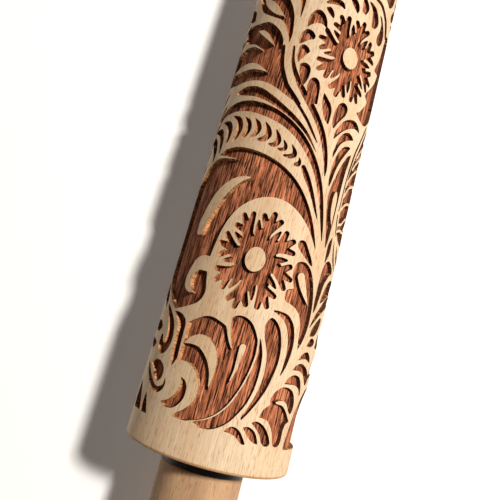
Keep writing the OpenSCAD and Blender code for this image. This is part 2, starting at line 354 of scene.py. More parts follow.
def stems(s):
    """The sweep of long stems between the two flowers, and the comb under them."""
    for cell in COMB:
        s.carve(*cell)
    s.carve((-31, 101.6, 1), (-26, 103.1, 1.5), (-20, 103.5, 1.8), (-14, 102.7, 1.9), (-8, 100.9, 1.85),
            (-3, 98.8, 1.6), (1.5, 96, 1.45), (5, 93, 1.35), (8.5, 89.1, 1.2), (11.3, 84.9, 1.1),
            (13.4, 80.7, 1), (15.2, 76.4, .8), (16.8, 72, .6), (18.2, 67.8, .2))
    s.carve((-23, 109, .6), (-19, 108.8, 1.6), (-14.5, 107.9, 1.7), (-10, 105.9, 1.3), (-5, 103, 1),
            (0, 100, .75), (4.5, 96.5, .5), (8.3, 92.4, .15))
    s.carve((-9.7, 124, .5), (-8.4, 117.5, .5), (-6.4, 112.8, .5), (-3.4, 107.8, .5), (0, 104.4, .5),
            (3.4, 100.8, .5), (6.3, 97.2, .4), (8.1, 95.1, .15))
    s.carve((-6.4, 124, .4), (-5.5, 119, .6), (-3.4, 114.5, .75), (-0.5, 110.2, .95), (3, 106.2, 1.1),
            (6.4, 102.2, 1.1), (9.4, 97.8, 1.05), (11.6, 93, .9), (12.9, 89, .6), (13.3, 86.3, .15))
    s.cut((14.5, 93, 1), (15.3, 95.4), (16.3, 98.3), (18.2, 100.5), (20.3, 101.8), (22.1, 102.8, 1),
          (20.5, 103.6), (18.6, 103.6), (16.7, 102.4), (15.3, 100.2), (14.6, 97.3), (14.2, 94.6))
    s.cut((15.8, 83.9, 1), (16.4, 86.3), (16.8, 89.3), (17.6, 92.3), (18.9, 95.2), (20.2, 97.6),
          (21.6, 99.8, 1), (19.8, 99.5), (18, 98.3), (16.6, 96.3), (15.6, 93.6), (15.1, 90.3), (15.1, 87),
          (15.4, 84.8))
    s.cut((20.7, 66, 1), (21.2, 69), (21.5, 74), (21.6, 80), (21.6, 86), (21.9, 92), (22.4, 95),
          (22.8, 98.1, 1), (21, 96.6), (19.7, 94.2), (18.5, 91.4), (17.6, 88), (16.7, 84.5), (16.5, 81),
          (17.1, 77.3), (18.2, 73.6), (19.5, 69.8))
    s.keep((19.4, 84.1), (20.3, 83.6), (20.8, 81.5), (20.9, 78.5), (21, 75.5), (21.2, 73.6, 1), (20.2, 75),
           (19.4, 76.8), (18.9, 79.3), (18.8, 82))


def upper_leaves(s):
    """Leaf-shaped cells round the upper flower."""
    s.cut((-4.6, 124.3), (-3.4, 125.2), (-1.9, 124.4), (-1.1, 123.1, 1), (-2.4, 121.2), (-3.9, 118.7, 1),
          (-4.7, 121))
    s.cut((-3.2, 118.4, 1), (-1.6, 119.1), (0, 118.3), (0.6, 116.5), (0.4, 114), (-0.1, 112.3),
          (-0.6, 111.6, 1), (-1.6, 113.2), (-2.7, 115.6))
    s.cut((1.2, 114.2), (2.4, 115.1), (3.8, 114.4), (4.6, 112.5), (4.9, 109.5), (5.1, 106.8, 1),
          (4.2, 106.7), (2.6, 107.8), (1.3, 109.6), (0.7, 111.8))
    s.cut((6.3, 111.4, 1), (7.6, 110.3), (9.3, 108.6), (10.1, 106.8), (10.2, 104.3), (10.1, 102, 1),
          (8.6, 103.1), (7.3, 105.4), (6.4, 108.2))
    s.cut((13.7, 111.4), (15.2, 111.1), (15.9, 109.8), (15.5, 107.8), (14.1, 105.5), (13, 103.5),
          (12.4, 101.9, 1), (11.8, 102), (11.2, 104.2), (11.4, 107.5), (12.2, 110.2))
    s.cut((13.1, 98.5, 1), (14.3, 100.3), (16.2, 102.9), (18.8, 105.1), (21.5, 106.4), (24.5, 106.6, 1),
          (23.6, 107.8), (21, 108.7), (18, 107.9), (15.6, 106), (14, 103.4), (13.1, 100.8))
    s.cut((-4.9, 129.5), (-3.6, 130.8), (-1.8, 130.2), (-0.7, 128.8), (-0.9, 127.6, 1), (-2.4, 127),
          (-3.6, 126), (-5.2, 125, 1), (-5.4, 127.3))
    s.cut((-2.6, 138), (-1, 138.2), (0.6, 136.9), (1.6, 135), (2, 133.2, 1), (3.3, 131.4), (4.8, 129.3),
          (6.6, 128.3, 1), (4.8, 127), (3.2, 129), (2.4, 130.5, 1), (1.8, 132.4), (0.4, 133.4),
          (-1.4, 133.4), (-3, 132.4), (-4, 131.2, 1), (-4.3, 134), (-3.8, 136.4))
    s.cut((0.2, 139.8, 1), (1.6, 140.2), (2.8, 139), (3.4, 137.4), (3.2, 136.5, 1), (2, 137.4),
          (0.8, 138.6))


def fan(s):
    """The wide fan of long leaves left of the upper flower."""
    s.cut((-31, 136.5), (-26, 135.8), (-22.5, 135), (-18, 134.2), (-15, 132.2), (-12.3, 129.5),
          (-10.5, 126.3), (-9.9, 123), (-9, 119), (-7.9, 116), (-6.2, 112.8), (-4, 110), (-1.5, 107.4),
          (0.6, 105, 1), (-2, 105.7), (-5, 107.2), (-8, 109), (-11, 110.6), (-15, 111.9), (-20, 112.5),
          (-25, 112.5), (-29, 113.4), (-33, 115), (-35.5, 119), (-36.5, 125), (-35.5, 131), (-33.5, 135))
    s.ridge((-33, 118.6, .1), (-29, 119, .7), (-26, 118.7, 1.15), (-22, 118.5, 1.25), (-18.5, 117.7, 1),
            (-15.5, 116.3, .5), (-13, 114.9, .1))
    s.ridge((-21.6, 131.8, .2), (-19, 130.3, .8), (-16.5, 128, .6), (-14, 125.2, .1))
    s.ridge((-36.5, 130, 1.7), (-31, 129, 1.6), (-28, 128.3, 1.3), (-25, 127.3, .7), (-21.5, 126.2, .4),
            (-18, 123.9, .1))
    s.cut((-27, 147.6), (-25.3, 143.6), (-23.3, 140.3), (-20, 137.7), (-16, 135.4), (-12.8, 133.7),
          (-10.8, 131), (-9.4, 128), (-8.3, 124.7, 1), (-8, 128), (-8.4, 132), (-9.3, 136), (-11, 139.8),
          (-13.2, 143), (-16, 146), (-19.5, 148.4), (-24, 149.4))
    s.ridge((-23.6, 145.6, .2), (-20.8, 142.6, 1.1), (-18.2, 140.2, 1.35), (-15.6, 137.6, .95),
            (-12.9, 135.5, .15))
    s.ridge((-33.5, 137, 1.6), (-31.2, 133.8, 1.6), (-30.2, 130.4, 1.2))
    s.carve((-9.2, 146.5, .5), (-7.9, 143.2, 1), (-7.3, 140, .75), (-7.1, 137.5, .5), (-6.9, 134.8, .15))
    s.carve((-31.5, 144.5, .7), (-29.6, 141.5, 1.9), (-28, 139.3, 1.1), (-26.6, 138.3, .2))


def flower_surround(s):
    """The lens cells and hooks over the top and right of the upper flower."""
    s.carve((4.8, 146.7, .6), (2.6, 146.2, 1), (1.2, 144.8, .8), (0.6, 143.7, .2))
    s.carve((.3, 141.6, .5), (2.5, 142.6, 1.1), (4.6, 142.6, .95), (5.9, 141.5, .3))
    s.carve((7.3, 146.6, .5), (9, 145.3, 1.2), (10.1, 143.7, .9), (10.5, 142.4, .3))
    s.carve((12.5, 148.3, .8), (13.2, 146.3, 1.45), (13.1, 144.6, 1.1))
    s.cut((14.2, 149.2, 1), (15.5, 149.3), (17.5, 148.8), (19.3, 147.3), (20.3, 145.5), (20.3, 143.8),
          (19.3, 142.2), (18, 141.5), (17.2, 142), (16.9, 144), (16.5, 146), (15.7, 147.5), (14.3, 148.6))
    s.cut((20.2, 148.4, 1), (21.7, 148.3), (23, 147.3), (25.3, 144.5), (25.6, 142), (24.8, 139.8),
          (23.3, 138.5), (21.6, 138.8), (21.4, 140.8), (22.2, 143.3), (22.2, 145.8), (21.3, 147.2))
    s.carve((16.5, 151.9, .5), (20, 151.9, .8), (23, 150.4, .9), (25.3, 148.7, 1), (27.6, 145.6, 1.2))
    s.cut((20, 111.5, 1), (21.5, 112.7), (23.3, 115.3), (24.8, 118, 1), (22.7, 119, 1), (22.8, 120),
          (23.9, 121.8), (25.3, 123.7), (27.3, 127), (28.2, 129.5), (28.3, 130.7, 1), (24.6, 130, 1),
          (25.3, 132), (26.5, 134.5), (27.2, 137), (27.7, 140), (28, 143), (29.2, 146.6), (31.6, 147.6),
          (34, 145), (35.2, 140), (35.8, 133), (35.6, 125), (34.2, 119), (32, 115), (30.5, 113.5),
          (29, 112), (27, 110.7), (24.5, 110.2), (22, 110.6))
    s.carve((30.5, 112, .5), (27.5, 105.5, .5), (25.3, 100, .5), (24.3, 95, .5), (23.6, 90, .35),
            (23.4, 85, .3), (23.4, 80, .25), (23.3, 77.5, .1))


VEIN_HALF_WIDTH = .4
VEINS = [
    [(25, 73.2), (27.5, 74.4), (30, 74.6), (33, 75.5), (39, 77.6)],
    [(25.2, 75.5), (27.5, 76.5), (29.5, 78.4), (32, 79.8), (39, 81.8)],
    [(24.6, 80.3), (26.5, 82.5), (29, 83.9), (33, 85.1), (39, 87.4)],
    [(24.4, 84.5), (26.6, 88.3), (30, 90.3), (34, 92), (39, 95)],
    [(24.3, 88), (25.3, 90.6), (27.3, 93.4), (30.8, 96.2), (35, 98.2), (39, 100.4)],
    [(26, 94.6), (28.3, 97.8), (31.4, 100.6), (35, 103), (39, 105.6)],
    [(27.6, 99.4), (30.6, 103.4), (34, 106.4), (39, 110.4)],
]


def right_comb(s):
    """Leaves that sweep up and away from the stem right of the long blade, and the leaf under them."""
    s.cut((25.3, 72.6, 1), (27.4, 71.2), (31, 70.6), (35, 71.6), (37.4, 75), (37.8, 82), (37.8, 92),
          (37.8, 104), (36.6, 112), (33.4, 112.4), (31, 109.2), (28.8, 104.8), (26.8, 100), (25.3, 95.5),
          (24.4, 91), (24.3, 86), (24.5, 80), (24.9, 76))
    for vein in VEINS:
        s.ridge(*[(u, v, VEIN_HALF_WIDTH) for u, v in vein])
    s.cut((22.3, 46.6, 1), (21.8, 50), (21.7, 55), (22, 60), (23, 62.5), (25, 63.5), (27.5, 62.8),
          (29.5, 61), (27.5, 59.6), (26, 57.8), (25, 56.3, 1), (24.3, 53), (23.8, 50.5), (23.2, 48))
    s.cut((25, 50.2, 1), (25.6, 53.4), (27, 56.2), (29.4, 58.4), (32.6, 59), (35.6, 57.6), (37, 55, 1),
          (33.4, 54.6), (30, 53.2), (27.2, 51.4))
    s.carve((23.3, 70.6, .15), (22.9, 68, .95), (22.8, 65.5, .95), (22.3, 62.4, .2))
    s.carve((25.3, 69.8, .2), (26, 67.5, .45), (27.6, 64.9, .6), (30, 63, .5), (32.5, 62, .1))
    s.carve((28.2, 69.2, .2), (30.2, 66.8, .8), (33, 65.2, .9), (36, 65, .3))
    s.carve((23.4, 78, .3), (23.7, 75.8, .35), (24.4, 73.6, .35), (25, 71.2, .15))
    s.cut((29.5, 27.5, 1), (33.5, 29.6), (37.5, 29.4), (40, 27.6, 1), (40.4, 31.4), (38, 34.6), (34, 35.2),
          (31, 33.4), (29.6, 30.6))
    s.cut((29.6, 37.5, 1), (32.8, 37.4), (36.2, 38.6), (39.2, 41.6), (40, 46, 1), (36.4, 46.6),
          (32.8, 44.6), (30.4, 41.4))


STEM_U = 41.0
STEM_SWAY = 1.8
STEM_PITCH = 31.0
STEM_HALF_WIDTH = 1.1
LEAF_PITCH = 5.2
LEAVES_START = 50.0
LEAVES_LENGTH = 100.0
LEAF_RISE = 4.4
LEAF_REACH = {-1: 3.2, 1: 6.2}


def far_stem(s):
    """The raised, swaying stem on the side away from the flowers, with cut leaves on both of its sides."""
    def stem(v):
        return STEM_U + STEM_SWAY * math.sin(2 * math.pi * v / STEM_PITCH)

    for k in range(int(LEAVES_LENGTH / LEAF_PITCH)):
        v = LEAVES_START + LEAF_PITCH * k
        for side, reach in LEAF_REACH.items():
            root = stem(v) + side * STEM_HALF_WIDTH
            s.carve((root, v, .2), (root + side * reach * .4, v + 1.4, .95),
                    (root + side * reach * .8, v + 3.2, .8), (root + side * reach, v + LEAF_RISE, .15))


TURN_U = -20.0
BAND_HALF_WIDTH = 1.1
SEAM = [(-40, 148.6), (-34, 151.4), (-26, 152), (-18, 149.6), (-8, 149.5), (4, 150.5), (16, 155.2), (24, 154),
        (32, 150.6), (38.5, 148.6)]


def turned_end(s):
    """Above the seam the sheet carries its own lower end turned half a turn, under a raised band."""
    u = s.u0 + np.arange(s.columns) * s.du
    knots = smooth([(a, b, 0) for a, b in SEAM], per_mm=8)
    seam_v = np.interp(u, knots[:, 0], knots[:, 1])
    source = (np.round((TURN_U - u - s.u0) / s.du).astype(int)) % s.columns
    turned = s.field[::-1][:, source]
    v = np.arange(s.rows)[:, None] * s.dv
    s.field = np.where(v > seam_v[None, :], turned, s.field)
    s.ridge(*[(a, b, BAND_HALF_WIDTH) for a, b in SEAM])


def painted_relief():
    """The whole tile, with a plain margin at each end."""
    s = Relief(GRID_STEP)
    lower_scroll(s)
    left_scroll(s)
    right_crescents(s)
    right_paisley(s)
    dome(s)
    stems(s)
    upper_leaves(s)
    fan(s)
    flower_surround(s)
    right_comb(s)
    far_stem(s)
    for centre in FLOWER_CENTRES:
        flower(s, *centre)
    turned_end(s)
    v = np.arange(s.rows)[:, None] * s.dv
    rim = np.minimum(v - MARGIN, LENGTH - MARGIN - v)
    s.field = np.maximum(s.field, -rim)
    return s


# ---------------------------------------------------------------- barrel mesh

def chains(values, level):
    """Polylines, in grid columns and rows, along which values equal the level."""
    above = values > level
    rows, columns = values.shape
    corner_sum = (above[:-1, :-1].astype(int) + above[:-1, 1:] + above[1:, :-1] + above[1:, 1:])
    links = {}
    where = {}

    def crossing(j, i, dj, di):
        key = (j, i, dj)
        if key not in where:
            a, b = values[j, i], values[j + dj, i + di]
            t = (level - a) / (b - a)
            where[key] = (i + t * di, j + t * dj)
        return key

    for j, i in zip(*np.nonzero((corner_sum > 0) & (corner_sum < 4))):
        low, high = above[j, i], above[j + 1, i]
        low_right, high_right = above[j, i + 1], above[j + 1, i + 1]
        ends = []
        if low != low_right:
            ends.append(crossing(j, i, 0, 1))
        if low_right != high_right:
            ends.append(crossing(j, i + 1, 1, 0))
        if high != high_right:
            ends.append(crossing(j + 1, i, 0, 1))
        if low != high:
            ends.append(crossing(j, i, 1, 0))
        if len(ends) == 2:
            pairs = [(0, 1)]
        elif low != (values[j:j + 2, i:i + 2].mean() > level):
            pairs = [(0, 1), (2, 3)]
        else:
            pairs = [(3, 0), (1, 2)]
        for a, b in pairs:
            links.setdefault(ends[a], []).append(ends[b])
            links.setdefault(ends[b], []).append(ends[a])

    out = []
    loose = [key for key, near in links.items() if len(near) == 1]
    for start in loose + list(links):
        if not links.get(start):
            continue
        path = [start]
        while links[path[-1]]:
            step = links[path[-1]].pop()
            links[step].remove(path[-1])
            path.append(step)
        out.append(np.array([where[key] for key in path]))
    return out


def thinned(path, tolerance, longest):
    """The path with only the points that keep it within the tolerance, and no gap over the longest."""
    keep = {0, len(path) - 1}
    spans = [(0, len(path) - 1)]
    if np.allclose(path[0], path[-1]):
        middle = int(np.argmax(np.hypot(*(path - path[0]).T)))
        keep.add(middle)
        spans = [(0, middle), (middle, len(path) - 1)]
    while spans:
        a, b = spans.pop()
        if b - a < 2:
            continue
        chord = path[b] - path[a]
        span = np.hypot(*chord)
        reach = path[a:b] - path[a]
        off = np.abs(chord[0] * reach[:, 1] - chord[1] * reach[:, 0]) / (span + 1e-9)
        far = a + int(np.argmax(off))
        if off.max() <= tolerance and span <= longest:
            continue
        if off.max() <= tolerance:
            far = (a + b) // 2
        keep.add(far)
        spans += [(a, far), (far, b)]
    return path[sorted(keep)]


def sampled(values, i, j):
    """Bilinear samples of the grid at fractional columns i and rows j."""
    i0 = np.clip(np.floor(i).astype(int), 0, values.shape[1] - 2)
    j0 = np.clip(np.floor(j).astype(int), 0, values.shape[0] - 2)
    a, b = i - i0, j - j0
    low = values[j0, i0] * (1 - a) + values[j0, i0 + 1] * a
    high = values[j0 + 1, i0] * (1 - a) + values[j0 + 1, i0 + 1] * a
    return low * (1 - b) + high * b


FIBRE_WAVES = ((61, .21, 0), (97, .37, 2.1), (149, .55, 4.4), (233, .9, 1.3))


def streaks(u, v):
    """Height of the laser-cut floor's lengthwise fibres, in -1..1, the same on both sides of a tile."""
    turn = 2 * math.pi * u / TILE
    out = 0
    for waves, pull, phase in FIBRE_WAVES:
        sway = 2.2 * np.sin(pull * v + phase) + 1.3 * np.sin(.47 * pull * v)
        out = out + np.sin(waves * turn + phase + sway)
    return out / len(FIBRE_WAVES)


FACE_RAISED, FACE_WALL, FACE_FLOOR, FACE_END, FACE_BORE, FACE_SHADED_WALL, FACE_HALF_SHADED_WALL, FACE_RIM = range(8)
# Walls that face this direction of (u, v), towards the key light, keep the lit burnt colour. Those facing
# away get painted shade.
LIT_SIDE = (1, -.1)
HALF_SHADE_BAND = .12


def triangle_kinds(uv, depth, tris):
    """What each triangle is: raised, floor, or a wall that gets the lit colour, half painted shade or full
    painted shade by the side it faces.
    """
    deep = depth[tris] > ENGRAVE_DEPTH / 2
    kind = np.where(deep.all(1), FACE_FLOOR, np.where(deep.any(1), FACE_WALL, FACE_RAISED))
    slope = np.zeros((len(tris), 2))
    for k in range(3):
        rise = depth[tris[:, k]] - depth[tris[:, (k + 1) % 3]]
        run = uv[tris[:, k]] - uv[tris[:, (k + 1) % 3]]
        slope += rise[:, None] * run / (run**2).sum(1)[:, None].clip(1e-6)
    facing = slope @ np.array(LIT_SIDE) / np.hypot(*slope.T).clip(1e-9)
    wall = kind == FACE_WALL
    # Walls turned away from the key light get painted shade in their colour: half shade, then full shade.
    kind[wall & (facing < HALF_SHADE_BAND)] = FACE_HALF_SHADED_WALL
    kind[wall & (facing < -HALF_SHADE_BAND)] = FACE_SHADED_WALL
    return kind


# The longest edge of an outline and the least gap at the tile's sides, in mm, and the stops of a side.
LONGEST_EDGE = 2.0
SIDE_GAP = .25
SIDE_STOPS = 160
# The loose points between outlines: spacing along u and v and distance kept from a wall, in mm,
# the shift as a share of the spacing, and grid rows and columns left free at the tile's borders.
RAISED_GAP = (1.5, 2.2)
FLOOR_GAP = (.55, 1.25)
RAISED_CLEARANCE = .3
FLOOR_CLEARANCE = .18
LOOSE_SHIFT = .35
LOOSE_SEED = 11
END_ROWS = 3
SIDE_COLUMNS = 2


def loose_points(relief, values, rim):
    """Shaken rows of (column, row, depth) that fill the raised faces and, more closely, the floor."""
    rng = np.random.default_rng(LOOSE_SEED)
    last_row = relief.rows - 1
    out = []
    for raised, (gap_u, gap_v) in ((True, RAISED_GAP), (False, FLOOR_GAP)):
        across, along = np.meshgrid(np.arange(.5, TILE / gap_u - .4), np.arange(.5, LENGTH / gap_v))
        i = (across + rng.uniform(-LOOSE_SHIFT, LOOSE_SHIFT, across.shape)) * gap_u / relief.du
        j = (along + rng.uniform(-LOOSE_SHIFT, LOOSE_SHIFT, along.shape)) * gap_v / relief.dv
        i, j = i.ravel(), j.ravel()
        value = sampled(values, i, j)
        good = (value > RAISED_CLEARANCE) if raised else (value < -WALL_DRAFT - FLOOR_CLEARANCE)
        good &= (j > rim + END_ROWS) & (j < last_row - rim - END_ROWS)
        good &= (i > SIDE_COLUMNS) & (i < relief.columns - SIDE_COLUMNS)
        out += [(a, b, 0 if raised else ENGRAVE_DEPTH) for a, b in zip(i[good], j[good])]
    return out


def tile_mesh(relief):
    """Triangles over one tile: rows of (u, v), depth at each, triangles and what each triangle is."""
    values = np.hstack([relief.field, relief.field[:, :1]])
    rim = EDGE_ROUND / relief.dv
    last_row = relief.rows - 1
    points = []
    depths = []
    index = {}
    edges = []

    def add(i, j, depth):
        key = (round(i, 4), round(j, 4))
        if key not in index:
            index[key] = len(points)
            points.append((relief.u0 + i * relief.du, j * relief.dv))
            depths.append(depth)
        return index[key]

    def join(ids):
        edges.extend((a, b) for a, b in zip(ids, ids[1:]) if a != b)

    side = []
    for level, depth in ((0, 0), (-WALL_DRAFT, ENGRAVE_DEPTH)):
        for path in chains(values, level):
            path = thinned(path, OUTLINE_TOLERANCE / relief.du, LONGEST_EDGE / relief.du)
            join([add(i, j, depth) for i, j in path])
            side += [(j, depth) for i, j in path if i == 0]
    stops = list(side)
    for j in np.arange(rim, last_row - rim + 1e-6, (last_row - 2 * rim) / SIDE_STOPS):
        if all(abs(j - other) > SIDE_GAP / relief.dv for other, _ in side):
            value = sampled(values, np.array([0.0]), np.array([j]))[0]
            stops.append((j, 0 if value > 0 else ENGRAVE_DEPTH))
    stops.sort()
    for i in (0, relief.columns):
        join([add(i, j, depth) for j, depth in stops])
    for j in (rim, last_row - rim):
        join([add(relief.columns * k / RING_SIDES, j, 0) for k in range(RING_SIDES + 1)])
    for i, j, depth in loose_points(relief, values, rim):
        add(i, j, depth)

    flat = np.array(points)
    made, _, faces, origins, _, _ = delaunay_2d_cdt([Vector(p) for p in flat], edges, [], 0, 1e-6)
    uv = np.array([tuple(p) for p in made])
    depth = np.zeros(len(uv))
    for k, source in enumerate(origins):
        if source:
            uv[k] = flat[source[0]]
            depth[k] = depths[source[0]]
        else:
            value = sampled(values, (uv[k:k + 1, 0] - relief.u0) / relief.du, uv[k:k + 1, 1] / relief.dv)[0]
            depth[k] = ENGRAVE_DEPTH * min(1, max(0, -value / WALL_DRAFT))
    tris = np.array([face for face in faces if len(face) == 3])
    a, b, c = (uv[tris[:, k]] for k in range(3))
    turn = (b[:, 0] - a[:, 0]) * (c[:, 1] - a[:, 1]) - (b[:, 1] - a[:, 1]) * (c[:, 0] - a[:, 0])
    tris[turn < 0] = tris[turn < 0][:, ::-1]
    tris = tris[np.abs(turn) > 1e-9]
    kind = triangle_kinds(uv, depth, tris)
    floor = depth > ENGRAVE_DEPTH / 2
    depth[floor] += STREAK_HEIGHT * streaks(uv[floor, 0], uv[floor, 1])
    return uv, depth, tris, kind


ROUND_STEPS = 6


def end_profile():
    """(v, radius, kind of the band that follows) from the near rim round the end face to the bore's mouth."""
    rows = []
    for k in range(ROUND_STEPS + 1):
        turn = math.pi / 2 * k / ROUND_STEPS
        rows.append((EDGE_ROUND * (1 - math.sin(turn)), RADIUS - EDGE_ROUND * (1 - math.cos(turn)), FACE_RIM))
    rows[-1] = rows[-1][:2] + (FACE_END,)
    rows += [(0, RECESS_RADIUS, FACE_END), (RECESS_DEPTH, RECESS_RADIUS, FACE_END),
             (RECESS_DEPTH, CUP_RADIUS, FACE_BORE), (CUP_DEPTH, CUP_RADIUS, FACE_BORE),
             (CUP_DEPTH, BORE_RADIUS, FACE_BORE)]
    return rows


def place(u, v, radius):
    """World position, in metres, of pattern place (u, v): u runs from the top towards -Y."""
    turn = u / RADIUS
    x = BARREL_LOW[0] / MM + v
    return np.stack([x, -radius * np.sin(turn), radius * np.cos(turn)], axis=-1) * MM


CREASE_DEGREES = 32


def carved_barrel(relief):
    """Two tiles wrapped round the barrel, closed by both ends and the stepped bore."""
    uv, depth, tris, kind = tile_mesh(relief)
    verts = []
    keys = {}
    faces = []
    kinds = []

    def vertex(u, v, radius):
        key = (round(u % (2 * TILE), 5) % round(2 * TILE, 5), round(v, 5), round(radius, 4))
        if key not in keys:
            keys[key] = len(verts)
            verts.append(place(u, v, radius))
        return keys[key]

    for half in range(2):
        ids = np.array([vertex(u + half * TILE, v, RADIUS - d) for (u, v), d in zip(uv, depth)])
        faces += ids[tris].tolist()
        kinds += kind.tolist()
    near = end_profile()
    far = [(LENGTH - v, radius, None) for v, radius, _ in near][::-1]
    rows = near + far
    bands = [row[2] for row in near] + [row[2] for row in near[:-1]][::-1]
    around = [-TILE / 2 + TILE * k / RING_SIDES for k in range(2 * RING_SIDES)]
    rings = [[vertex(u, v, radius) for u in around] for v, radius, _ in rows]
    for low, high, band in zip(rings, rings[1:], bands):
        for k in range(len(around)):
            after = (k + 1) % len(around)
            faces.append([low[k], low[after], high[after], high[k]][::-1])
            kinds.append(band)
    mesh = bpy.data.meshes.new("carved_barrel")
    mesh.from_pydata([tuple(p) for p in verts], [], faces)
    mesh.polygons.foreach_set("material_index", np.array(kinds, dtype=np.int32))
    mesh.polygons.foreach_set("use_smooth", np.ones(len(faces), dtype=bool))
    mesh.validate()
    mesh.update()
    mesh.set_sharp_from_angle(angle=math.radians(CREASE_DEGREES))
    barrel = bpy.data.objects.new("carved_barrel", mesh)
    bpy.context.scene.collection.objects.link(barrel)
    return barrel


# ---------------------------------------------------------------- materials

class Nodes:
    """A material under construction: a Principled shader and short calls for what feeds it."""

    def __init__(self, name, **sockets):
        self.material = bpy.data.materials.new(name)
        self.material.use_nodes = True
        self.tree = self.material.node_tree
        self.shader = self.tree.nodes["Principled BSDF"]
        for socket, value in sockets.items():
            self.shader.inputs[socket.replace("_", " ")].default_value = value
        self.place = self.tree.nodes.new("ShaderNodeTexCoord").outputs["Object"]

    def link(self, out, node, socket):
        self.tree.links.new(out, node.inputs[socket])

    def noise(self, across, along, detail=2, roughness=.5, lean=0.0, distortion=0.0):
        """Noise with this many waves per mm across the pin and along it."""
        mapping = self.tree.nodes.new("ShaderNodeMapping")
        self.link(self.place, mapping, "Vector")
        mapping.inputs["Scale"].default_value = (along / MM, across / MM, across / MM)
        mapping.inputs["Location"].default_value = (lean, lean * 2, lean * 3)
        node = self.tree.nodes.new("ShaderNodeTexNoise")
        self.link(mapping.outputs["Vector"], node, "Vector")
        node.inputs["Scale"].default_value = 1
        node.inputs["Detail"].default_value = detail
        node.inputs["Roughness"].default_value = roughness
        node.inputs["Distortion"].default_value = distortion
        return node.outputs["Fac"]

    def ramp(self, value, *stops):
        """Colours at positions along the value; a bare number stands for a grey."""
        node = self.tree.nodes.new("ShaderNodeValToRGB")
        self.link(value, node, "Fac")
        ramp = node.color_ramp
        while len(ramp.elements) < len(stops):
            ramp.elements.new(.5)
        for element, (position, colour) in zip(ramp.elements, stops):
            element.position = position
            element.color = (colour,) * 3 + (1,) if isinstance(colour, (int, float)) else (*colour, 1)
        return node.outputs["Color"]

    def mix(self, mode, factor, a, b):
        node = self.tree.nodes.new("ShaderNodeMix")
        node.data_type = "RGBA"
        node.blend_type = mode
        for value, socket in ((factor, "Factor"), (a, "A"), (b, "B")):
            slots = [s for s in node.inputs if s.name == socket and s.enabled]
            if isinstance(value, bpy.types.NodeSocket):
                self.tree.links.new(value, slots[0])
            elif isinstance(value, tuple):
                slots[0].default_value = (*value, 1)
            else:
                slots[0].default_value = value
        return [out for out in node.outputs if out.enabled][0]

    def colour(self, value):
        self.link(value, self.shader, "Base Color")

    def rough(self, value):
        self.link(value, self.shader, "Roughness")

    def bump(self, height, distance, strength=1.0):
        node = self.tree.nodes.new("ShaderNodeBump")
        self.link(height, node, "Height")
        node.inputs["Distance"].default_value = distance
        node.inputs["Strength"].default_value = strength
        self.link(node.outputs["Normal"], self.shader, "Normal")


def beech(name, pale, tan, fleck):
    """Planed beech: a slow drift of tan, fine fibres and short brown flecks along the grain."""
    m = Nodes(name, Roughness=.62, Specular_IOR_Level=.3)
    base = m.ramp(m.noise(.11, .02, detail=3), (.34, tan), (.62, pale))
    fibre = m.ramp(m.noise(2.4, .11, detail=4, roughness=.6, lean=7.1), (.30, .80), (.66, 1.04))
    base = m.mix("MULTIPLY", 1.0, base, fibre)
    dashes = m.ramp(m.noise(3.4, .42, detail=1, lean=3.3), (.60, 0.0), (.68, .75))
    base = m.mix("MIX", dashes, base, fleck)
    pores = m.ramp(m.noise(1.9, .13, detail=1, lean=6.4), (.68, 0.0), (.74, .5))
    m.colour(m.mix("MIX", pores, base, fleck))
    m.bump(m.noise(3.6, .2, detail=3, lean=1.7), .00006, .6)
    return m.material


def burnt_floor():
    """The engraved floor: scorched fibres in lengthwise streaks from near black to orange brown."""
    m = Nodes("burnt_floor", Roughness=.9, Specular_IOR_Level=.08)
    broad = m.noise(.35, .035, detail=3, lean=9.2)
    base = m.ramp(broad, (.34, (.27, .082, .034)), (.52, (.40, .128, .056)), (.68, (.55, .20, .094)))
    fibre = m.noise(2.2, .16, detail=3, roughness=.62, distortion=.4)
    streak = m.ramp(fibre, (.36, .05), (.47, .62), (.60, 1.55))
    base = m.mix("MULTIPLY", 1.0, base, streak)
    crack = m.ramp(m.noise(2.9, .2, detail=2, lean=5.7), (.36, .08), (.43, 1.0))
    m.colour(m.mix("MULTIPLY", 1.0, base, crack))
    m.bump(fibre, .00030, .9)
    return m.material


def burnt_wall():
    """The engraved walls: orange scorched wood with fine steps left by the laser's passes."""
    m = Nodes("burnt_wall", Roughness=.7, Specular_IOR_Level=.25)
    base = m.ramp(m.noise(.4, .5, detail=2), (.3, (.40, .155, .055)), (.7, (.66, .31, .125)))
    steps = m.ramp(m.noise(.5, 2.7, detail=1, lean=4.1), (.38, .45), (.56, 1.08))
    m.colour(m.mix("MULTIPLY", 1.0, base, steps))
    m.bump(m.noise(.5, 2.7, detail=1, lean=4.1), .0002, .7)
    return m.material


def shaded_burnt_wall(name, dark, light):
    """Burnt wood darkened as painted shade, for a wall that faces away from the key light."""
    m = Nodes(name, Roughness=.85, Specular_IOR_Level=.15)
    m.colour(m.ramp(m.noise(.6, 2.2, detail=2), (.34, dark), (.66, light)))
    m.bump(m.noise(.5, 2.7, detail=1, lean=4.1), .0002, .7)
    return m.material


def end_grain(name, pale, dark):
    """Cut across the grain: growth rings round a heart beside the axis, with fine pores."""
    m = Nodes(name, Roughness=.7, Specular_IOR_Level=.3)
    rings = m.tree.nodes.new("ShaderNodeTexWave")
    rings.wave_type = "RINGS"
    rings.rings_direction = "X"
    mapping = m.tree.nodes.new("ShaderNodeMapping")
    m.link(m.place, mapping, "Vector")
    mapping.inputs["Location"].default_value = (0, .011, .016)
    m.link(mapping.outputs["Vector"], rings, "Vector")
    rings.inputs["Scale"].default_value = 120
    rings.inputs["Distortion"].default_value = 1.5
    rings.inputs["Detail"].default_value = 2
    base = m.ramp(rings.outputs["Fac"], (.2, dark), (.8, pale))
    pores = m.ramp(m.noise(5, 5, detail=2), (.34, .7), (.5, 1.0))
    m.colour(m.mix("MULTIPLY", 1.0, base, pores))
    m.bump(m.noise(5, 5, detail=2), .0001, .5)
    return m.material


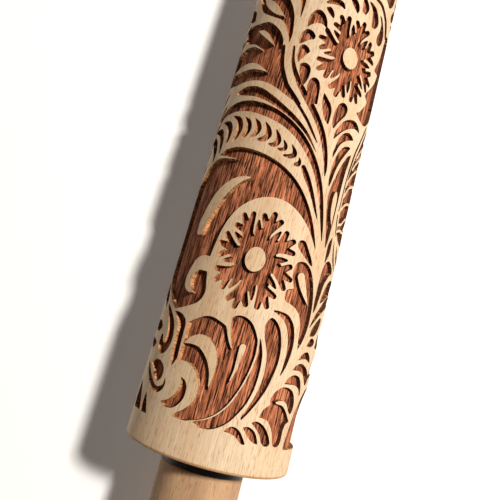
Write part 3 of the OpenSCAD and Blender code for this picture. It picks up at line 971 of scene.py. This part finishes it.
def metal(name, colour, roughness, brushed):
    """Bare metal with a slight drift in its colour and polish."""
    m = Nodes(name, Metallic=1.0)
    m.colour(m.ramp(m.noise(.8, .8, detail=3), (.3, tuple(c * .86 for c in colour)), (.7, colour)))
    m.rough(m.ramp(m.noise(brushed, 5, detail=2), (.3, roughness * .75), (.7, roughness * 1.25)))
    return m.material


def nylon(name, colour):
    """Moulded nylon, slightly mottled."""
    m = Nodes(name, Specular_IOR_Level=.4, Subsurface_Weight=.05)
    m.colour(m.ramp(m.noise(.4, .4, detail=2), (.3, tuple(c * .93 for c in colour)), (.7, colour)))
    m.rough(m.ramp(m.noise(3, 3, detail=2), (.3, .38), (.7, .5)))
    return m.material


PALE_BEECH = (.79, .57, .355)
TAN_BEECH = (.70, .455, .25)
FLECK_BROWN = (.46, .215, .09)
RIM_BEECH = (.66, .37, .165)
RIM_TAN = (.46, .23, .095)
HANDLE_PALE = (.61, .36, .19)
HANDLE_TAN = (.43, .24, .12)
HANDLE_FLECK = (.28, .14, .07)


def dress():
    """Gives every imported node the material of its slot, apart from the barrel blank."""
    finish = {
        "handle_beech": beech("handle_beech_grain", HANDLE_PALE, HANDLE_TAN, HANDLE_FLECK),
        "axle_steel": metal("turned_steel", (.56, .57, .58), .32, .3),
        "race_steel": metal("ground_steel", (.66, .67, .69), .2, .3),
        "ball_steel": metal("polished_steel", (.78, .79, .8), .08, .3),
        "shield_steel": metal("pressed_steel", (.62, .63, .64), .3, .3),
        "black_nylon": nylon("black_nylon", (.035, .035, .038)),
        "cage_nylon": nylon("cream_nylon", (.72, .68, .55)),
        "insert_brass": metal("brass", (.72, .5, .2), .28, .3),
    }
    for part in frame["record"]["subparts"]:
        if part["node"] == "engraved_barrel":
            continue
        node = frame["nodes"][part["node"]]
        node.data.materials.clear()
        node.data.materials.append(None)
        node.material_slots[0].link = "OBJECT"
        node.material_slots[0].material = finish[part["material_slot"]]


def add_barrel():
    """The carved barrel stands for the plain CAD blank. Its materials are in the order of FACE_ values."""
    barrel = carved_barrel(painted_relief())
    for material in (beech("barrel_beech_grain", PALE_BEECH, TAN_BEECH, FLECK_BROWN),
                     burnt_wall(),
                     burnt_floor(),
                     end_grain("barrel_end_grain", PALE_BEECH, TAN_BEECH),
                     beech("bore_beech", TAN_BEECH, HANDLE_PALE, FLECK_BROWN),
                     # Painted shade: burnt walls facing away from the key light, first fully shaded, then
                     # half shaded.
                     shaded_burnt_wall("shaded_burnt_wall", (.04, .013, .006), (.12, .04, .016)),
                     shaded_burnt_wall("half_shaded_burnt_wall", (.12, .045, .018), (.30, .12, .046)),
                     beech("rim_beech", RIM_BEECH, RIM_TAN, FLECK_BROWN)):
        barrel.data.materials.append(material)
    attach(barrel, "barrel")
    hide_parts("engraved_barrel")


# ---------------------------------------------------------------- studio

CAMERA_AHEAD = 30.05
CAMERA_HEIGHT = 157.4
CAMERA_FORWARD = (0.2077, 0.0210, -0.9780)
CAMERA_UP = (0.9435, 0.2597, 0.2060)
LENS_MM = 34.97
SENSOR_MM = 36
NEAR_CLIP = .005


def add_camera():
    """Close above the near end, turned so that the pin runs up and to the right across the view."""
    forward = Vector(CAMERA_FORWARD).normalized()
    right = forward.cross(Vector(CAMERA_UP)).normalized()
    up = right.cross(forward)
    camera = bpy.data.objects.new("camera", bpy.data.cameras.new("camera"))
    camera.data.lens = LENS_MM
    camera.data.sensor_width = SENSOR_MM
    camera.data.clip_start = NEAR_CLIP
    place_at = Vector((BARREL_LOW[0] + CAMERA_AHEAD * MM, 0, CAMERA_HEIGHT * MM))
    camera.matrix_world = Matrix.Translation(place_at) @ Matrix((right, up, -forward)).transposed().to_4x4()
    bpy.context.scene.collection.objects.link(camera)
    bpy.context.scene.camera = camera


KEY_AT = (.44, -.70, 1.2)
KEY_SIZE = .14
KEY_WATTS = 30
FLOOR_REACH = 1.1
FLOOR_PAPER = (.93, .89, .83)
FLOOR_GLOW = .10
ROOM_TINT = (1, .90, .76)
ROOM_STRENGTH = .05
BACKDROP_STRENGTH = .85


def add_key_light():
    """One small area lamp, above the far end and to the camera's right, aimed at the barrel's centre."""
    light = bpy.data.lights.new("key", "AREA")
    light.size = KEY_SIZE
    light.energy = KEY_WATTS
    lamp = bpy.data.objects.new("key", light)
    lamp.location = KEY_AT
    lamp.rotation_euler = (-Vector(KEY_AT)).to_track_quat("-Z", "Y").to_euler()
    bpy.context.scene.collection.objects.link(lamp)


def add_floor():
    """A square of pale paper under the pin."""
    floor = bpy.data.objects.new("floor", bpy.data.meshes.new("floor"))
    corners = [(x * FLOOR_REACH, y * FLOOR_REACH, FLOOR_Z) for x, y in ((-1, -1), (1, -1), (1, 1), (-1, 1))]
    floor.data.from_pydata(corners, [], [(0, 1, 2, 3)])
    paper = Nodes("studio_paper", Roughness=.9, Base_Color=(*FLOOR_PAPER, 1), Emission_Color=(1, 1, 1, 1),
                  Emission_Strength=FLOOR_GLOW)
    floor.data.materials.append(paper.material)
    bpy.context.scene.collection.objects.link(floor)


def add_room():
    """A weak warm room light. The camera sees a white backdrop in its place."""
    world = bpy.data.worlds.new("studio")
    world.use_nodes = True
    tree = world.node_tree
    room = tree.nodes["Background"]
    room.inputs["Color"].default_value = (*ROOM_TINT, 1)
    room.inputs["Strength"].default_value = ROOM_STRENGTH
    backdrop = tree.nodes.new("ShaderNodeBackground")
    backdrop.inputs["Color"].default_value = (1, 1, 1, 1)
    backdrop.inputs["Strength"].default_value = BACKDROP_STRENGTH
    choose = tree.nodes.new("ShaderNodeMixShader")
    seen = tree.nodes.new("ShaderNodeLightPath").outputs["Is Camera Ray"]
    tree.links.new(seen, choose.inputs[0])
    tree.links.new(room.outputs[0], choose.inputs[1])
    tree.links.new(backdrop.outputs[0], choose.inputs[2])
    tree.links.new(choose.outputs[0], tree.nodes["World Output"].inputs["Surface"])
    bpy.context.scene.world = world
    bpy.context.scene.view_settings.view_transform = "Standard"


add_camera()
add_key_light()
add_floor()
add_room()
dress()
add_barrel()
